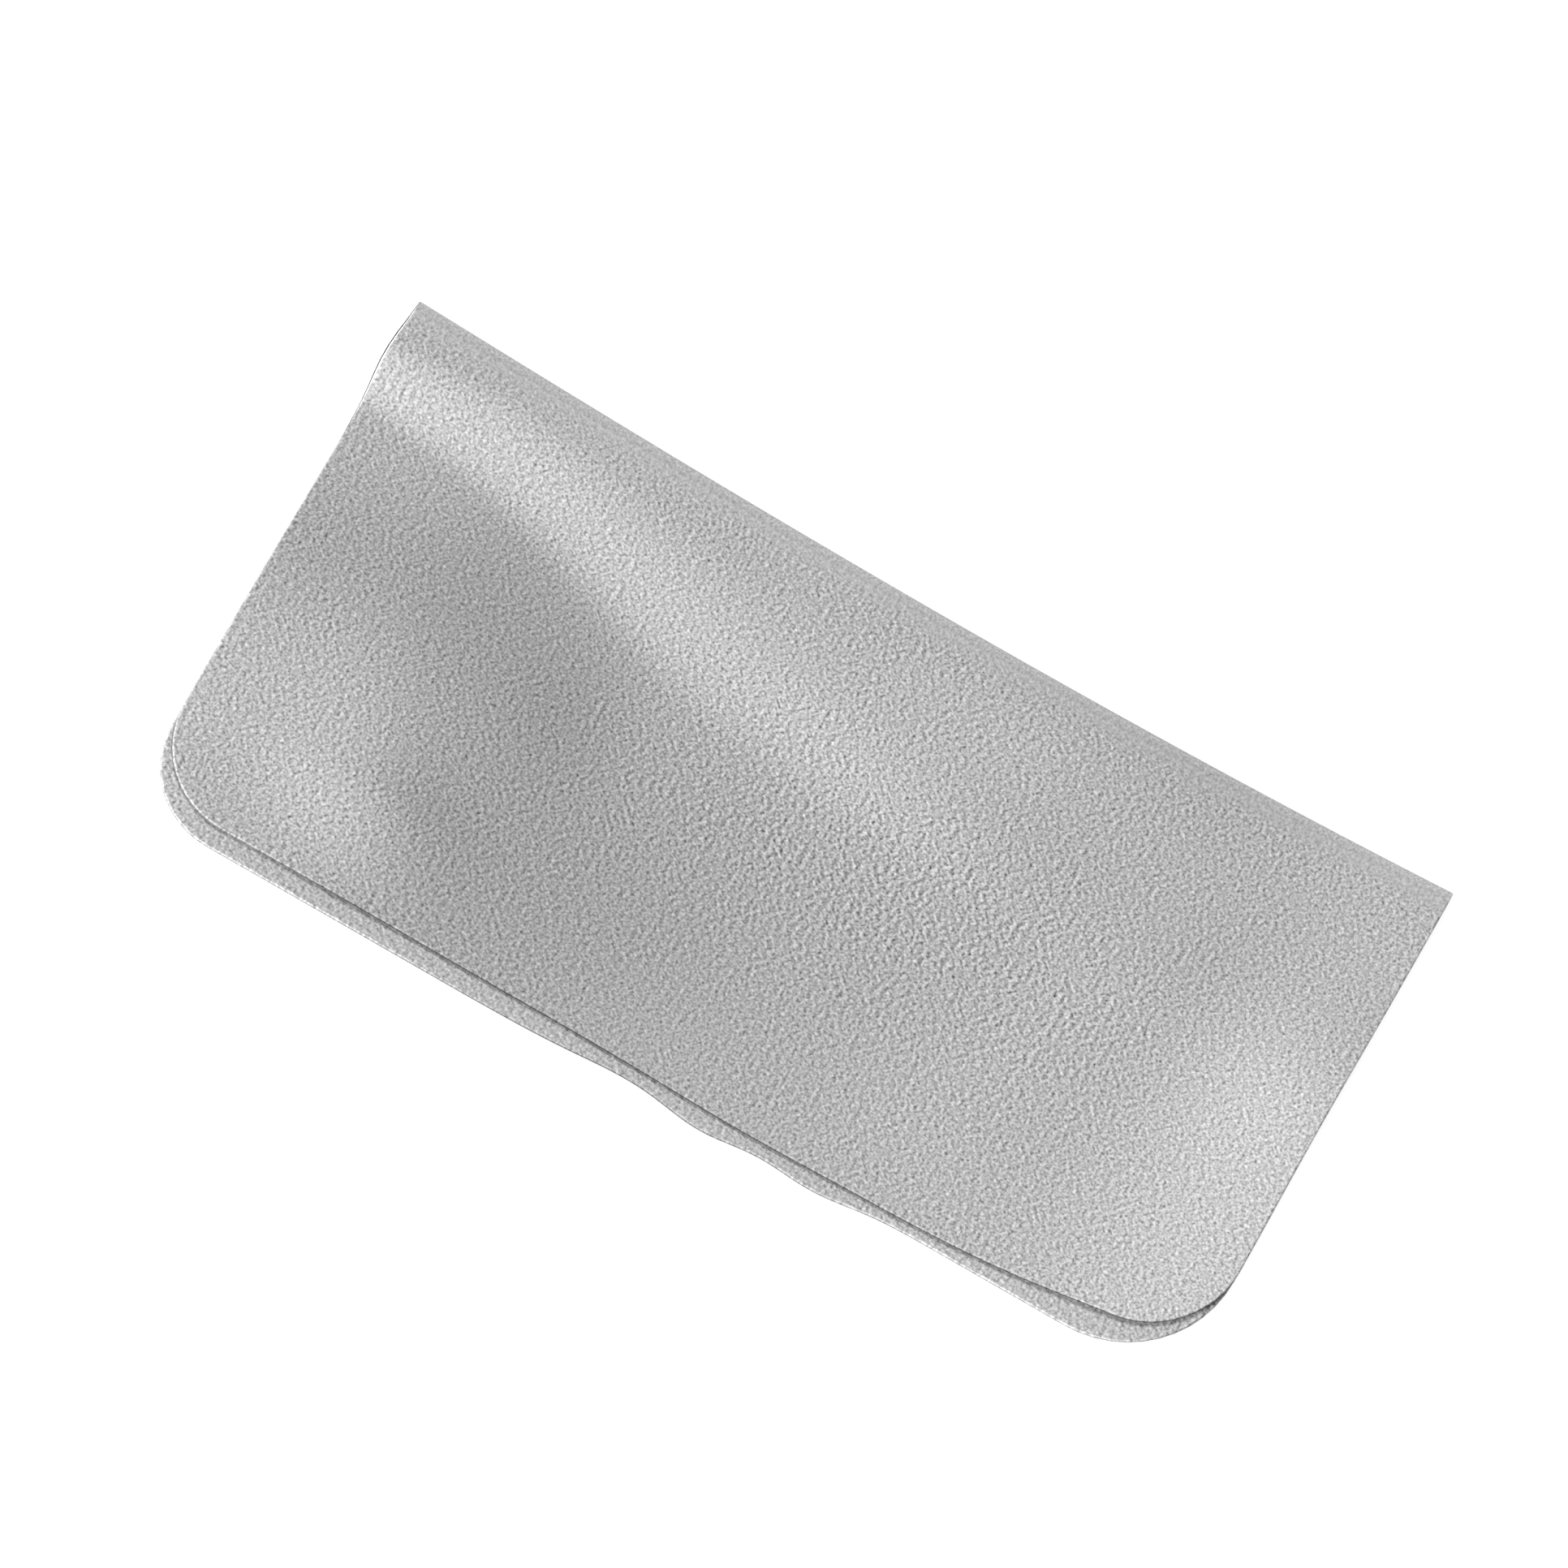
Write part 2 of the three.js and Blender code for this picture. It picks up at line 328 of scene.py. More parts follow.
top_line = on_sheet(np.linspace(-HALF_LENGTH, HALF_LENGTH, 9), roll_length, -half_sheet)
print(f"The fold stands {top_line[:, 2].max() / MM:.2f} mm high")

# %% [markdown]
# ## The three layers
#
# Both suede plies are soft, so their cut edges are rounded towards the face and sharp where they
# are bonded to the felt. The felt core is cut with them, but it has shrunk back a little, most of
# all along the free edges. One thick sheet with a painted line would be quicker, but only three
# separate layers give the cut edge its fine grooves.

# %% How the layers lie in the sheet
FACE_PLY = 0.3 * MM
CORE_PLY = 0.2 * MM
RIM_ROUND = 0.26 * MM
RIM_SHARP = 0.03 * MM
CORE_INSET = 0.05 * MM
CORE_SET_BACK = 0.25 * MM
# How far a layer slips out by the roll, at its outside and at its inside
OUTER_SLIP = (0.52 * MM, 0.52 * MM)
CORE_SLIP = (0.43 * MM, 0.08 * MM)
NO_SLIP = (0, 0)
# The depths of a layer's two sides, how round its rim is at each, its slip, how much shorter it is
# all round, and how much shorter still along the free edge
Layer = namedtuple("Layer", "outside inside outside_round inside_round slip inset set_back")
LAYERS = {
    "outer_ply": Layer(-half_sheet, FACE_PLY - half_sheet, RIM_ROUND, RIM_SHARP, OUTER_SLIP, 0, 0),
    "core": Layer(-CORE_PLY / 2, CORE_PLY / 2, RIM_SHARP, RIM_SHARP, CORE_SLIP, CORE_INSET, CORE_SET_BACK),
    "inner_ply": Layer(half_sheet - FACE_PLY, half_sheet, RIM_SHARP, RIM_ROUND, NO_SLIP, 0, 0),
}
for layer_name, layer in LAYERS.items():
    print(f"{layer_name}: from {layer.outside / MM:.2f} to {layer.inside / MM:.2f} mm through the sheet")

# %% [markdown]
# ## The rim of a ply
#
# A ply is a closed slab. A flat grid could be given thickness with a Solidify modifier and a
# Bevel, but a slab built ring by ring keeps the soft rim exactly where the cut edge is.
#
# Each ring is the same grid on the flat cloth, drawn in by the ring's inset, so that the rim
# follows the rounded corners by itself. A grid has four sides: the seam towards the rest of the
# cloth, the left and the right side, and the free edge. The rim runs round its free sides only.

# %% Rings and sides
RIM_STEPS = 5


def half_rim(depth, inwards, rounding):
    """Inset, depth and how far turned, at each step from a face to the middle of the rim."""
    steps = []
    for turn in np.linspace(0, pi / 2, RIM_STEPS):
        turned = 1 - cos(turn)
        steps.append((rounding * (1 - sin(turn)), depth + inwards * rounding * turned, turned))
    return steps


def rim_steps(layer):
    """The steps of the whole rim, from the inside face to the outside face."""
    outside = half_rim(layer.outside, 1, layer.outside_round)
    return half_rim(layer.inside, -1, layer.inside_round) + outside[::-1]


def sides_of(shape):
    """The spots (column, row) of each side of a grid, in order round it."""
    last_column, last_row = shape[0] - 1, shape[1] - 1
    return {
        "seam": [(column, 0) for column in range(last_column, -1, -1)],
        "left": [(0, row) for row in range(last_row + 1)],
        "edge": [(column, last_row) for column in range(last_column + 1)],
        "right": [(last_column, row) for row in range(last_row, -1, -1)],
    }


def rim_path(sides, free_sides):
    """The spots round the free sides, from one seam to the next."""
    path = []
    for side in free_sides:
        path += [spot for spot in sides[side] if spot not in path[-1:]]
    return path


print(f"Each rim has {len(rim_steps(LAYERS['core']))} rings")
print("The sides of a grid of 2 by 2 spots:", sides_of((2, 2)))

# %% [markdown]
# ## The painted shade on the cut edge
#
# The cut edge of suede is painted darker than its face, as painted shade for the shadow in the gap under
# the upper leaf's free edge. It is darkest round the middle of the free edges. It is weaker at the left,
# where the white core stands out and the rim is lit, and it is gone along the right side.
#
# A second material on the edge would end in a hard line, so every point gets a number instead, from 0 on
# the face to 1 where the painted shade is full, and the finish reads it. The faces inside the sheet, where
# a ply is bonded to the core, are darkened all over.

# %% The painted shade of the cut edge
# The painted shade is lifted at the left, where the white core shows: how much by the roll and away from
# it, and where that changes
LEFT_SHADE_LIFT_SHARES = (0.4, 0.75)
LEFT_SHADE_LIFT_FROM_ROLL = (15 * MM, 30 * MM)
LEFT_SHADE_LIFT_FADE = 36 * MM
# The right side has no painted shade this far in, and that ends between these places across the upper leaf
RIGHT_UNSHADED_FADE = 8 * MM
RIGHT_UNSHADED_END = (50 * MM, 66 * MM)
# Near this place along the fold the painted shade reaches further round the rim, and on the lower leaf it
# shows only there
EDGE_SHADE_MIDDLE = -8 * MM
EDGE_SHADE_SPREAD = 30 * MM
EDGE_SHADE_REACH = 0.5
EDGE_SHADE_ON_LOWER_LEAF = 0.8


def painted_edge_shade(x, v, turned):
    """How much painted shade the cut edge gets at a place on the cloth, by how far the rim has turned."""
    by_left = 1 - smoothstep(x + HALF_LENGTH, 0, LEFT_SHADE_LIFT_FADE)
    left_shade_lift = mix(LEFT_SHADE_LIFT_SHARES, smoothstep(np.abs(v), *LEFT_SHADE_LIFT_FROM_ROLL)) * by_left
    right_unshaded = (1 - smoothstep(HALF_LENGTH - x, 0, RIGHT_UNSHADED_FADE)) * (1 - smoothstep(v, *RIGHT_UNSHADED_END))
    in_middle = bell(x - EDGE_SHADE_MIDDLE, EDGE_SHADE_SPREAD)
    on_leaf = np.where(v < 0, EDGE_SHADE_ON_LOWER_LEAF * in_middle, 1)
    return (1 - left_shade_lift) * (1 - right_unshaded) * on_leaf * turned ** (1 - EDGE_SHADE_REACH * in_middle)


# The painted shade of the cut edge in the middle of the upper leaf
print(f"Raw edge in the middle of the upper leaf: {float(painted_edge_shade(0, UPPER_LEAF, 1)):.2f}")

# %% [markdown]
# ## The points of a ply
#
# A face takes all the spots of the grid, and a ring of the rim only those on its path. Besides its place,
# each point keeps where it lies on the flat cloth, for the grain, how dark it is painted, and two
# directions for its shading. These could be painted or unwrapped later, but here they are known.

# %% One ring of points
Ring = namedtuple("Ring", "points flat raw square_to off_seam")


def make_ring(grid, layer, step, spots, facing, free_sides):
    """facing is 1 for the inside face, -1 for the outside face and 0 for a ring of the rim."""
    inset, depth, turned = step
    x, v = grid(inset + layer.inset)
    column, row = np.array(spots, int).reshape(-1, 2).T
    at_seam = (row == 0) | ((row == x.shape[1] - 1) & ("edge" not in free_sides))
    x, v = x[column, row], v[column, row]
    slip = np.interp(depth, (layer.outside, layer.inside), layer.slip)
    rounding = layer.inside_round if facing > 0 else layer.outside_round
    # Bonded faces are darkened all over; the rim takes the painted shade of the cut edge
    bonded = float(rounding == RIM_SHARP)
    return Ring(
        points=on_sheet(x, v, depth, slip),
        flat=np.stack([x, v], -1),
        raw=np.full(len(spots), bonded) if facing else painted_edge_shade(x, v, turned),
        square_to=inner_normal(x, v) * facing,
        off_seam=along_sheet(x, v) * at_seam[:, None],
    )


print("Each point keeps:", ", ".join(Ring._fields))

# %% [markdown]
# ## The faces of a ply
#
# Squares cover the two faces, strips join the rings of the rim, and a wall closes the slab where
# it meets the next length of cloth. A wall could be left out, since nobody sees it, but a closed
# body is worth more: it can be measured, printed or cut.

# %% Squares, strips and walls
def face_squares(shape, levels):
    squares = []
    for column in range(shape[0] - 1):
        for row in range(shape[1] - 1):
            square = [(column, row), (column + 1, row), (column + 1, row + 1), (column, row + 1)]
            squares.append([levels[0][spot] for spot in square])
            squares.append([levels[-1][spot] for spot in reversed(square)])
    return squares


def rim_strips(path, levels):
    strips = []
    for upper, lower in zip(levels, levels[1:]):
        for a, b in zip(path, path[1:]):
            strips.append([upper[a], upper[b], lower[b], lower[a]])
    return strips


def down_rim(spot, path, levels):
    """The points that a wall has below a spot, which are many where the rim begins or ends."""
    at_end = spot in path[:1] + path[-1:]
    return [level[spot] for level in levels[1:-1] if at_end] + [levels[-1][spot]]


def seam_walls(sides, free_sides, path, levels):
    walls = []
    for side, spots in sides.items():
        if side in free_sides:
            continue
        for a, b in zip(spots, spots[1:]):
            down_a, down_b = down_rim(a, path, levels), down_rim(b, path, levels)
            walls.append([levels[0][a], levels[0][b]] + down_b + down_a[::-1])
    return walls


smallest = [{spot: first + at for at, spot in enumerate(np.ndindex(2, 2))} for first in (0, 4)]
box_faces = face_squares((2, 2), smallest) + seam_walls(sides_of((2, 2)), (), [], smallest)
print("The faces of the smallest slab, by their points:", box_faces)

# %% [markdown]
# ## Shading and grain that run over the seams
#
# The seams between the lengths of cloth must not show. Smooth shading alone would bend round the
# hidden walls and leave a dark notch at each seam. So the faces take the normals of the whole
# sheet, which are the same on both sides of a seam, and the rim loses the part of its normals that
# points along the sheet. Joining the lengths into one mesh would hide the seams too, but then the
# cloth could not open at its hinges.

# %% Normals and flat places
def smooth_over_seams(mesh, square_to, off_seam):
    """Gives faces and rims the normals of the whole sheet, so that neighbours shade as one."""
    normals = np.array([vertex.normal for vertex in mesh.vertices])
    normals -= np.sum(normals * off_seam, axis=1, keepdims=True) * off_seam
    on_face = square_to.any(axis=1)
    normals[on_face] = square_to[on_face]
    mesh.normals_split_custom_set_from_vertices(normals)


def keep_flat_places(mesh, flat):
    """Writes where each point lies on the flat cloth, as shares of its length."""
    flat_cloth = mesh.uv_layers.new(name="flat_cloth")
    corners = np.empty(len(mesh.loops), np.int32)
    mesh.loops.foreach_get("vertex_index", corners)
    flat_cloth.data.foreach_set("uv", (flat[corners] / LENGTH).astype(np.float32).ravel())


print(f"Across the flat cloth: {-LOWER_LEAF / MM:.1f} to {(roll_length + UPPER_LEAF) / MM:.1f} mm")

# %% [markdown]
# ## A ply as one closed mesh
#
# The rings, faces and walls come together here. The slab starts at its inside face, goes round the
# rim and ends at its outside face. On the lower leaf the grid runs the other way across the cloth,
# so its faces are turned over to point out. Blender could recalculate them, but the order of the
# grid already tells which way they point.

# %% Rings, faces and walls together
def ply_mesh(name, grid, layer, free_sides):
    flat_v = grid(0)[1]
    sides = sides_of(flat_v.shape)
    path = rim_path(sides, free_sides)
    every_spot = list(np.ndindex(flat_v.shape))
    steps = rim_steps(layer)
    facings = [1] + [0] * (len(steps) - 2) + [-1]
    rings, levels, count = [], [], 0
    for step, facing in zip(steps, facings):
        spots = every_spot if facing else path
        rings.append(make_ring(grid, layer, step, spots, facing, free_sides))
        levels.append({spot: count + at for at, spot in enumerate(spots)})
        count += len(spots)

    faces = face_squares(flat_v.shape, levels) + rim_strips(path, levels)
    faces += seam_walls(sides, free_sides, path, levels)
    if flat_v[0, 1] < flat_v[0, 0]:
        faces = [face[::-1] for face in faces]

    points, flat, raw, square_to, off_seam = (np.concatenate(part) for part in zip(*rings))
    mesh = bpy.data.meshes.new(name)
    mesh.from_pydata(points, [], faces)
    keep_flat_places(mesh, flat)
    # The attribute holds the painted shade of the cut edge and the darkening of the bonded faces
    painted_darkness = mesh.attributes.new("painted_darkness", "FLOAT", "POINT")
    painted_darkness.data.foreach_set("value", raw.astype(np.float32))
    mesh.shade_smooth()
    smooth_over_seams(mesh, square_to, off_seam)
    return mesh


# The raw edge here is the painted shade of the cut edge
print("A ply's points keep flat_cloth for the grain and painted_darkness for the raw edge")

# %% [markdown]
# ## Shader sums as Python
#
# A finish could be wired by hand in the node editor, but it is easier to read and to change as a
# sum. This small class wraps a socket, so that plus, minus and times on values add the Math nodes.

# %% A value that varies over the surface
class Value:
    """A number or a vector that varies over the surface. Sums on a number add Math nodes."""

    def __init__(self, finish, socket):
        self.finish = finish
        self.socket = socket

    def math(self, operation, first, second):
        return self.finish.add("ShaderNodeMath", {"operation": operation}, {0: first, 1: second})

    def __add__(self, other):
        return self.math("ADD", self, other)

    def __sub__(self, other):
        return self.math("SUBTRACT", self, other)

    def __rsub__(self, other):
        return self.math("SUBTRACT", other, self)

    def __mul__(self, other):
        return self.math("MULTIPLY", self, other)

    __radd__ = __add__
    __rmul__ = __mul__


print("Sums on a value:", [name for name in vars(Value) if name.endswith(("add__", "sub__", "mul__"))])

# %% [markdown]
# ## A finish and its nodes
#
# All nodes that are not sums come from one method. It takes the type of the node, its settings,
# which have to be set first because they can change its sockets, and then the values or links of
# the sockets. Each node could be written out in full, but then a finish would be three times as
# long, and its sums would be hard to see.

# %% One way to add any node
class Finish:
    """One material and its nodes."""

    def __init__(self, name):
        self.material = bpy.data.materials.new(name)
        self.material.use_nodes = True
        self.tree = self.material.node_tree
        self.tree.nodes.clear()

    def add(self, kind, settings, sockets, output=0):
        node = self.tree.nodes.new(kind)
        for name, value in settings.items():
            setattr(node, name, value)
        for name, value in sockets.items():
            if isinstance(value, Value):
                self.tree.links.new(value.socket, node.inputs[name])
            else:
                node.inputs[name].default_value = value
        return Value(self, node.outputs[output]) if node.outputs else None

    def grey(self, tone):
        return self.add("ShaderNodeCombineColor", {}, {0: tone, 1: tone, 2: tone})

    def show(self, surface):
        self.add("ShaderNodeOutputMaterial", {}, {"Surface": surface})
        print(f"{self.material.name}: {len(self.tree.nodes)} nodes")
        return self.material


print("A finish can", ", ".join(name for name in vars(Finish) if not name.startswith("__")))

# %% [markdown]
# ## Noise that lies on the flat cloth
#
# The grain is part of the sheet, so it has to run over the fold and across the seams unbroken.
# Noise in object space would cut through the two leaves and stretch at the rim. The pieces keep
# their places on the flat cloth as a UV map, and every pattern here is made there, at its real
# size in millimetres.

# %% A finish laid out on the flat cloth
class ClothFinish(Finish):
    def __init__(self, name):
        super().__init__(name)
        self.flat = self.add("ShaderNodeUVMap", {"uv_map": "flat_cloth"}, {})

    def places(self):
        """Where a point lies along the flat cloth and across it, as shares of its length."""
        return [self.add("ShaderNodeSeparateXYZ", {}, {0: self.flat}, output) for output in (0, 1)]

    def noise(self, per_mm, detail):
        sockets = {"Vector": self.flat, "Scale": per_mm * LENGTH / MM, "Detail": detail}
        return self.add("ShaderNodeTexNoise", {}, sockets) - 0.5

    def tufts(self, per_mm, moved=(0, 0)):
        """Noise of a given fineness along and across the fold, moved by so many millimetres."""
        scale = (per_mm[0] * LENGTH / MM, per_mm[1] * LENGTH / MM, 0)
        shift = (per_mm[0] * moved[0], per_mm[1] * moved[1], 0)
        sockets = {0: self.flat, 1: scale, 2: shift}
        spot = self.add("ShaderNodeVectorMath", {"operation": "MULTIPLY_ADD"}, sockets)
        return self.add("ShaderNodeTexNoise", {}, {"Vector": spot, "Scale": 1.0, "Detail": 1.0}) - 0.5

    def rise(self, value, start, end):
        """From 0 to 1 between two places in metres, smoothly."""
        sockets = {"Value": value, "From Min": start / LENGTH, "From Max": end / LENGTH}
        return self.add("ShaderNodeMapRange", {"interpolation_type": "SMOOTHSTEP"}, sockets)

    def spots(self, u, v, table):
        """A sum of soft round spots: how strong each is, its two places and its two spreads."""
        found = 0
        for strength, at_x, at_v, spread_x, spread_v in table:
            off_x = (u - at_x / LENGTH) * (LENGTH / spread_x)
            off_v = (v - at_v / LENGTH) * (LENGTH / spread_v)
            squares = off_x * off_x + off_v * off_v
            bell_here = self.add("ShaderNodeMath", {"operation": "EXPONENT"}, {0: squares * -0.5})
            found = found + bell_here * strength
        return found


print(f"The pattern space is {LENGTH / MM:.0f} mm wide")

# %% [markdown]
# ## Painted light and shade, and the nap
#
# Broad soft fields of the colour are painted lighter and darker. They are partly nap, which a wiping hand
# leaves lighter where it lies one way and darker where it lies the other, and partly painted light and
# shade on the rises and falls of the cloth. Large noise would give such fields too, but anywhere. A short
# table of soft spots puts them where this cloth has them. A second table says where the grain stands
# stronger or weaker, as it does on the crest of a rise and where the cloth is pulled.

# %% Fields of nap and painted light, and of the grain
# How much lighter each field is painted, as nap and painted light, its place along (x) and across (v) the
# flat cloth, and the spreads
NAP_AND_PAINTED_LIGHT = (
    (-0.13, -23.5 * MM, 56 * MM, 45 * MM, 40 * MM),
    (0.2, 76 * MM, 66.5 * MM, 15 * MM, 25 * MM),
    (-0.13, 43 * MM, 22 * MM, 16.7 * MM, 24.4 * MM),
    (-0.13, -25 * MM, 65.3 * MM, 20.4 * MM, 15.7 * MM),
    (-0.06, -74 * MM, 14.5 * MM, 12 * MM, 6 * MM),
    (0.13, 62 * MM, -75 * MM, 25 * MM, 10 * MM),
    (-0.07, -72 * MM, 58 * MM, 14 * MM, 12 * MM),
    (-0.08, -48 * MM, 29 * MM, 11 * MM, 8 * MM),
    (-0.08, -45 * MM, 75 * MM, 12 * MM, 7 * MM),
)
# How much stronger the grain stands, in the same order
RELIEF = (
    (0.5, 20 * MM, 41.5 * MM, 28 * MM, 10 * MM),
    (-0.3, 73 * MM, 44 * MM, 18 * MM, 26 * MM),
    (-0.2, -66 * MM, 15 * MM, 25 * MM, 22 * MM),
    (-0.25, 0, 73.5 * MM, 14 * MM, 8 * MM),
)
print(f"{len(NAP_AND_PAINTED_LIGHT)} fields of nap and {len(RELIEF)} of grain")

# %% [markdown]
# ## Suede
#
# The face is a matt grey suede with a fine pebbled grain of tufts about 0.7 mm apart. A tuft shows by its
# tone more than by its shape, because the side that faces the light is paler. Bump alone looks like hard
# leather here. So one noise is made twice, moved a little each way, and the difference is painted light
# and shade in the colour: a painted lit side and a painted shaded side on every tuft. Their sum is a low
# bump, and a finer speckle stands for the fibres.
#
# On the roll the sheet is pulled tight, so its grain is flatter. Its tone there is painted paler, as
# painted light on the side of the roll that turns away from the low lamp. The strip of the lower leaf past
# the upper one is a little flatter too. The cut edge is painted nearly black, as painted shade.

# %% The suede finish
SUEDE_GREY = 0.505
SUEDE_ROUGHNESS = 0.92
SUEDE_GLOSS = 0.15
TUFTS_PER_MM = (1.4, 1.45)
# How far the noise is moved each way, for the painted lit and shaded side of a tuft
TUFT_SHADE_SHIFT_MM = (0.16, 0.03)
TUFT_HEIGHT = 0.05 * MM
SPECKLE_PER_MM = (2.7, 2.7)
CLOUDS_PER_MM = 0.05
CLOUD_DETAIL = 2.0
# How strongly each pattern shows in the tone; for the tufts this is painted light and shade
TUFT_LIGHT_AND_SHADE = 1.2
SPECKLE_TONE = 1.8
CLOUD_TONE = 0.08
# How much weaker the grain is on the roll and on the strip, and the strip's speckle
ROLL_FLATTER = 0.4
STRIP_FLATTER = 0.2
STRIP_CALMER = 0.12
STRIP_START = (-74 * MM, -69 * MM)
# The roll's grain comes back just past it, and its band of painted light ends at these shares of its
# length
ROLL_FADE = 2.5 * MM
ROLL_PAINTED_LIGHT = 0.3
ROLL_PAINTED_LIGHT_END_SHARES = (0.82, 1.1)
# How dark the painted shade of the cut edge and the bonded faces gets
PAINTED_DARKNESS_DEPTH = 0.97


def suede():
    finish = ClothFinish("grey_suede")
    u, v = finish.places()
    lit_side = finish.tufts(TUFTS_PER_MM, TUFT_SHADE_SHIFT_MM)
    shaded_side = finish.tufts(TUFTS_PER_MM, [-part for part in TUFT_SHADE_SHIFT_MM])
    speckle = finish.tufts(SPECKLE_PER_MM)
    clouds = finish.noise(CLOUDS_PER_MM, CLOUD_DETAIL)
    # The painted shade of the cut edge, as the mesh holds it
    raw = finish.add("ShaderNodeAttribute", {"attribute_name": "painted_darkness"}, {}, "Fac")

    up_roll = finish.rise(v, 0, roll_length / 2)
    tight = up_roll * (1 - finish.rise(v, roll_length, roll_length + ROLL_FADE))
    painted_light_on_roll = up_roll * (1 - finish.rise(v, *[roll_length * share for share in ROLL_PAINTED_LIGHT_END_SHARES]))
    on_strip = 1 - finish.rise(v, *STRIP_START)

    relief = (finish.spots(u, v, RELIEF) + 1) * (1 - tight * ROLL_FLATTER) * (1 - on_strip * STRIP_FLATTER)
    # The tufts' lit and shaded sides are painted light and shade; the speckle is the fibres' own tone
    tuft_shade_and_grain = (lit_side - shaded_side) * relief * TUFT_LIGHT_AND_SHADE + speckle * SPECKLE_TONE
    tuft_shade_and_grain = tuft_shade_and_grain * (1 - tight * ROLL_FLATTER) * (1 - on_strip * STRIP_CALMER)
    # The broad fields are partly nap and partly painted light and shade
    tone = SUEDE_GREY * (tuft_shade_and_grain + clouds * CLOUD_TONE + 1) * (finish.spots(u, v, NAP_AND_PAINTED_LIGHT) + 1)
    # Painted light on the roll, and painted shade on the cut edge
    tone = tone * (painted_light_on_roll * ROLL_PAINTED_LIGHT + 1) * (1 - raw * PAINTED_DARKNESS_DEPTH)

    tuft_form = {"Height": (lit_side + shaded_side) * relief, "Strength": 1.0, "Distance": TUFT_HEIGHT}
    look = {
        "Base Color": finish.grey(tone),
        "Normal": finish.add("ShaderNodeBump", {}, tuft_form),
        "Roughness": SUEDE_ROUGHNESS,
        "Specular IOR Level": SUEDE_GLOSS,
    }
    return finish.show(finish.add("ShaderNodeBsdfPrincipled", {}, look))


grey_suede = suede()

# %% [markdown]
# ## White felt
#
# The core shows only as a thin line in the cut edge: matt white fibres, with hardly any tone of
# their own. One flat white would do from afar. A fine, weak noise keeps it cloth when seen close.

# %% The felt finish
FELT_WHITE = 0.9
FELT_ROUGHNESS = 0.9
FIBRES_PER_MM = 6
FIBRE_DETAIL = 3.0
FIBRE_TONE = 0.1


def felt():
    finish = ClothFinish("white_felt")
    tone = FELT_WHITE + finish.noise(FIBRES_PER_MM, FIBRE_DETAIL) * FIBRE_TONE
    look = {"Base Color": finish.grey(tone), "Roughness": FELT_ROUGHNESS}
    return finish.show(finish.add("ShaderNodeBsdfPrincipled", {}, look))


white_felt = felt()

# %% [markdown]
# ## Making a piece
#
# Every length of every layer is its own piece, as the layers of the real cloth are. They could be
# joined by layer, but a piece that stands alone can ride on its own body. Each takes the finish and
# the material slot of its layer.

# %% A piece from a grid
FINISHES = {"outer_ply": grey_suede, "core": white_felt, "inner_ply": grey_suede}
pieces = {layer_name: [] for layer_name in LAYERS}


def add_piece(name, grid, layer_name, free_sides):
    mesh = ply_mesh(name, grid, LAYERS[layer_name], free_sides)
    mesh.materials.append(FINISHES[layer_name])
    piece = bpy.data.objects.new(name, mesh)
    bpy.context.scene.collection.objects.link(piece)
    pieces[layer_name].append(piece)
    return piece


print("Finishes:", {layer_name: finish.name for layer_name, finish in FINISHES.items()})

# %% [markdown]
# ## The grid of a leaf
#
# A leaf is one grid from the roll to its free edge. Its rows are shares of the reach, so they
# follow the waves of the edge, and its columns crowd together in the rounded corners. Cutting the
# corners off a square grid would leave small broken faces there. Drawn in by an inset, the same
# grid gives every ring of the rim.

# %% Columns and rows of a leaf
CORNER_STEPS = 12
MIDDLE_STEPS = 150
# The core is set back from here on, so that it still shows at the left corners
SET_BACK_START = (4 * MM, 14 * MM)


def columns(half_length, corners):
    """x of each column and how much a rounded corner cuts off it, from left to right."""
    turns = np.linspace(0, pi / 2, CORNER_STEPS, endpoint=False)
    left, right = corners
    middle = np.linspace(left - half_length, half_length - right, MIDDLE_STEPS + 1)
    x = [left * (1 - np.cos(turns)) - half_length, middle, half_length - right * (1 - np.cos(turns[::-1]))]
    cut = [left * (1 - np.sin(turns)), 0 * middle, right * (1 - np.sin(turns[::-1]))]
    return np.concatenate(x), np.concatenate(cut)


def leaf_patch(reach, corners, rows, side, set_back):
    """The flat grid of a leaf, as a function of how far it is drawn in from its free sides."""

    def grid(inset):
        x, cut = columns(HALF_LENGTH - inset, [corner - inset for corner in corners])
        hidden = set_back * smoothstep(x + HALF_LENGTH, *SET_BACK_START)
        length = reach(x) - pitch / 2 - inset - cut - hidden
        across = np.outer(length, np.linspace(0, 1, rows + 1))
        v = roll_length + across if side > 0 else -across
        return np.broadcast_to(x[:, None], v.shape), v

    return grid


print(f"A leaf has {len(columns(HALF_LENGTH, UPPER_CORNERS)[0])} columns")

# %% [markdown]
# ## The two leaves
#
# Each leaf has its three layers, and each layer takes the place of the solid model's node. The
# solids could be smoothed instead, but they are faceted, and the soft rim and the small waves of
# the real edge are not in them.

# %% The leaves in their three layers
# Each leaf's reach, its two corner radii, its rows, and its side of the roll: -1 before, 1 after
LEAVES = {
    "lower_leaf": (lower_reach, LOWER_CORNERS, 30, -1),
    "upper_leaf": (upper_reach, UPPER_CORNERS, 80, 1),
}
for leaf, form in LEAVES.items():
    for layer_name, layer in LAYERS.items():
        grid = leaf_patch(*form, layer.set_back)
        piece = add_piece(f"{leaf}_{layer_name}_skin", grid, layer_name, ("left", "edge", "right"))
        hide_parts(f"{leaf}_{layer_name}")
        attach(piece, leaf)
        print(f"{piece.name}: {len(piece.data.polygons)} faces")

# %% [markdown]
# ## The grid and the bend of an arc
#
# The fold is bowed and a hinge is straight. One arc along the whole fold could not follow both, so it is
# made in four spans, short enough for the bow to be nearly straight in each. For each span, the ends of a
# bend are worked out along its own chord, turned to stand square to the bow.

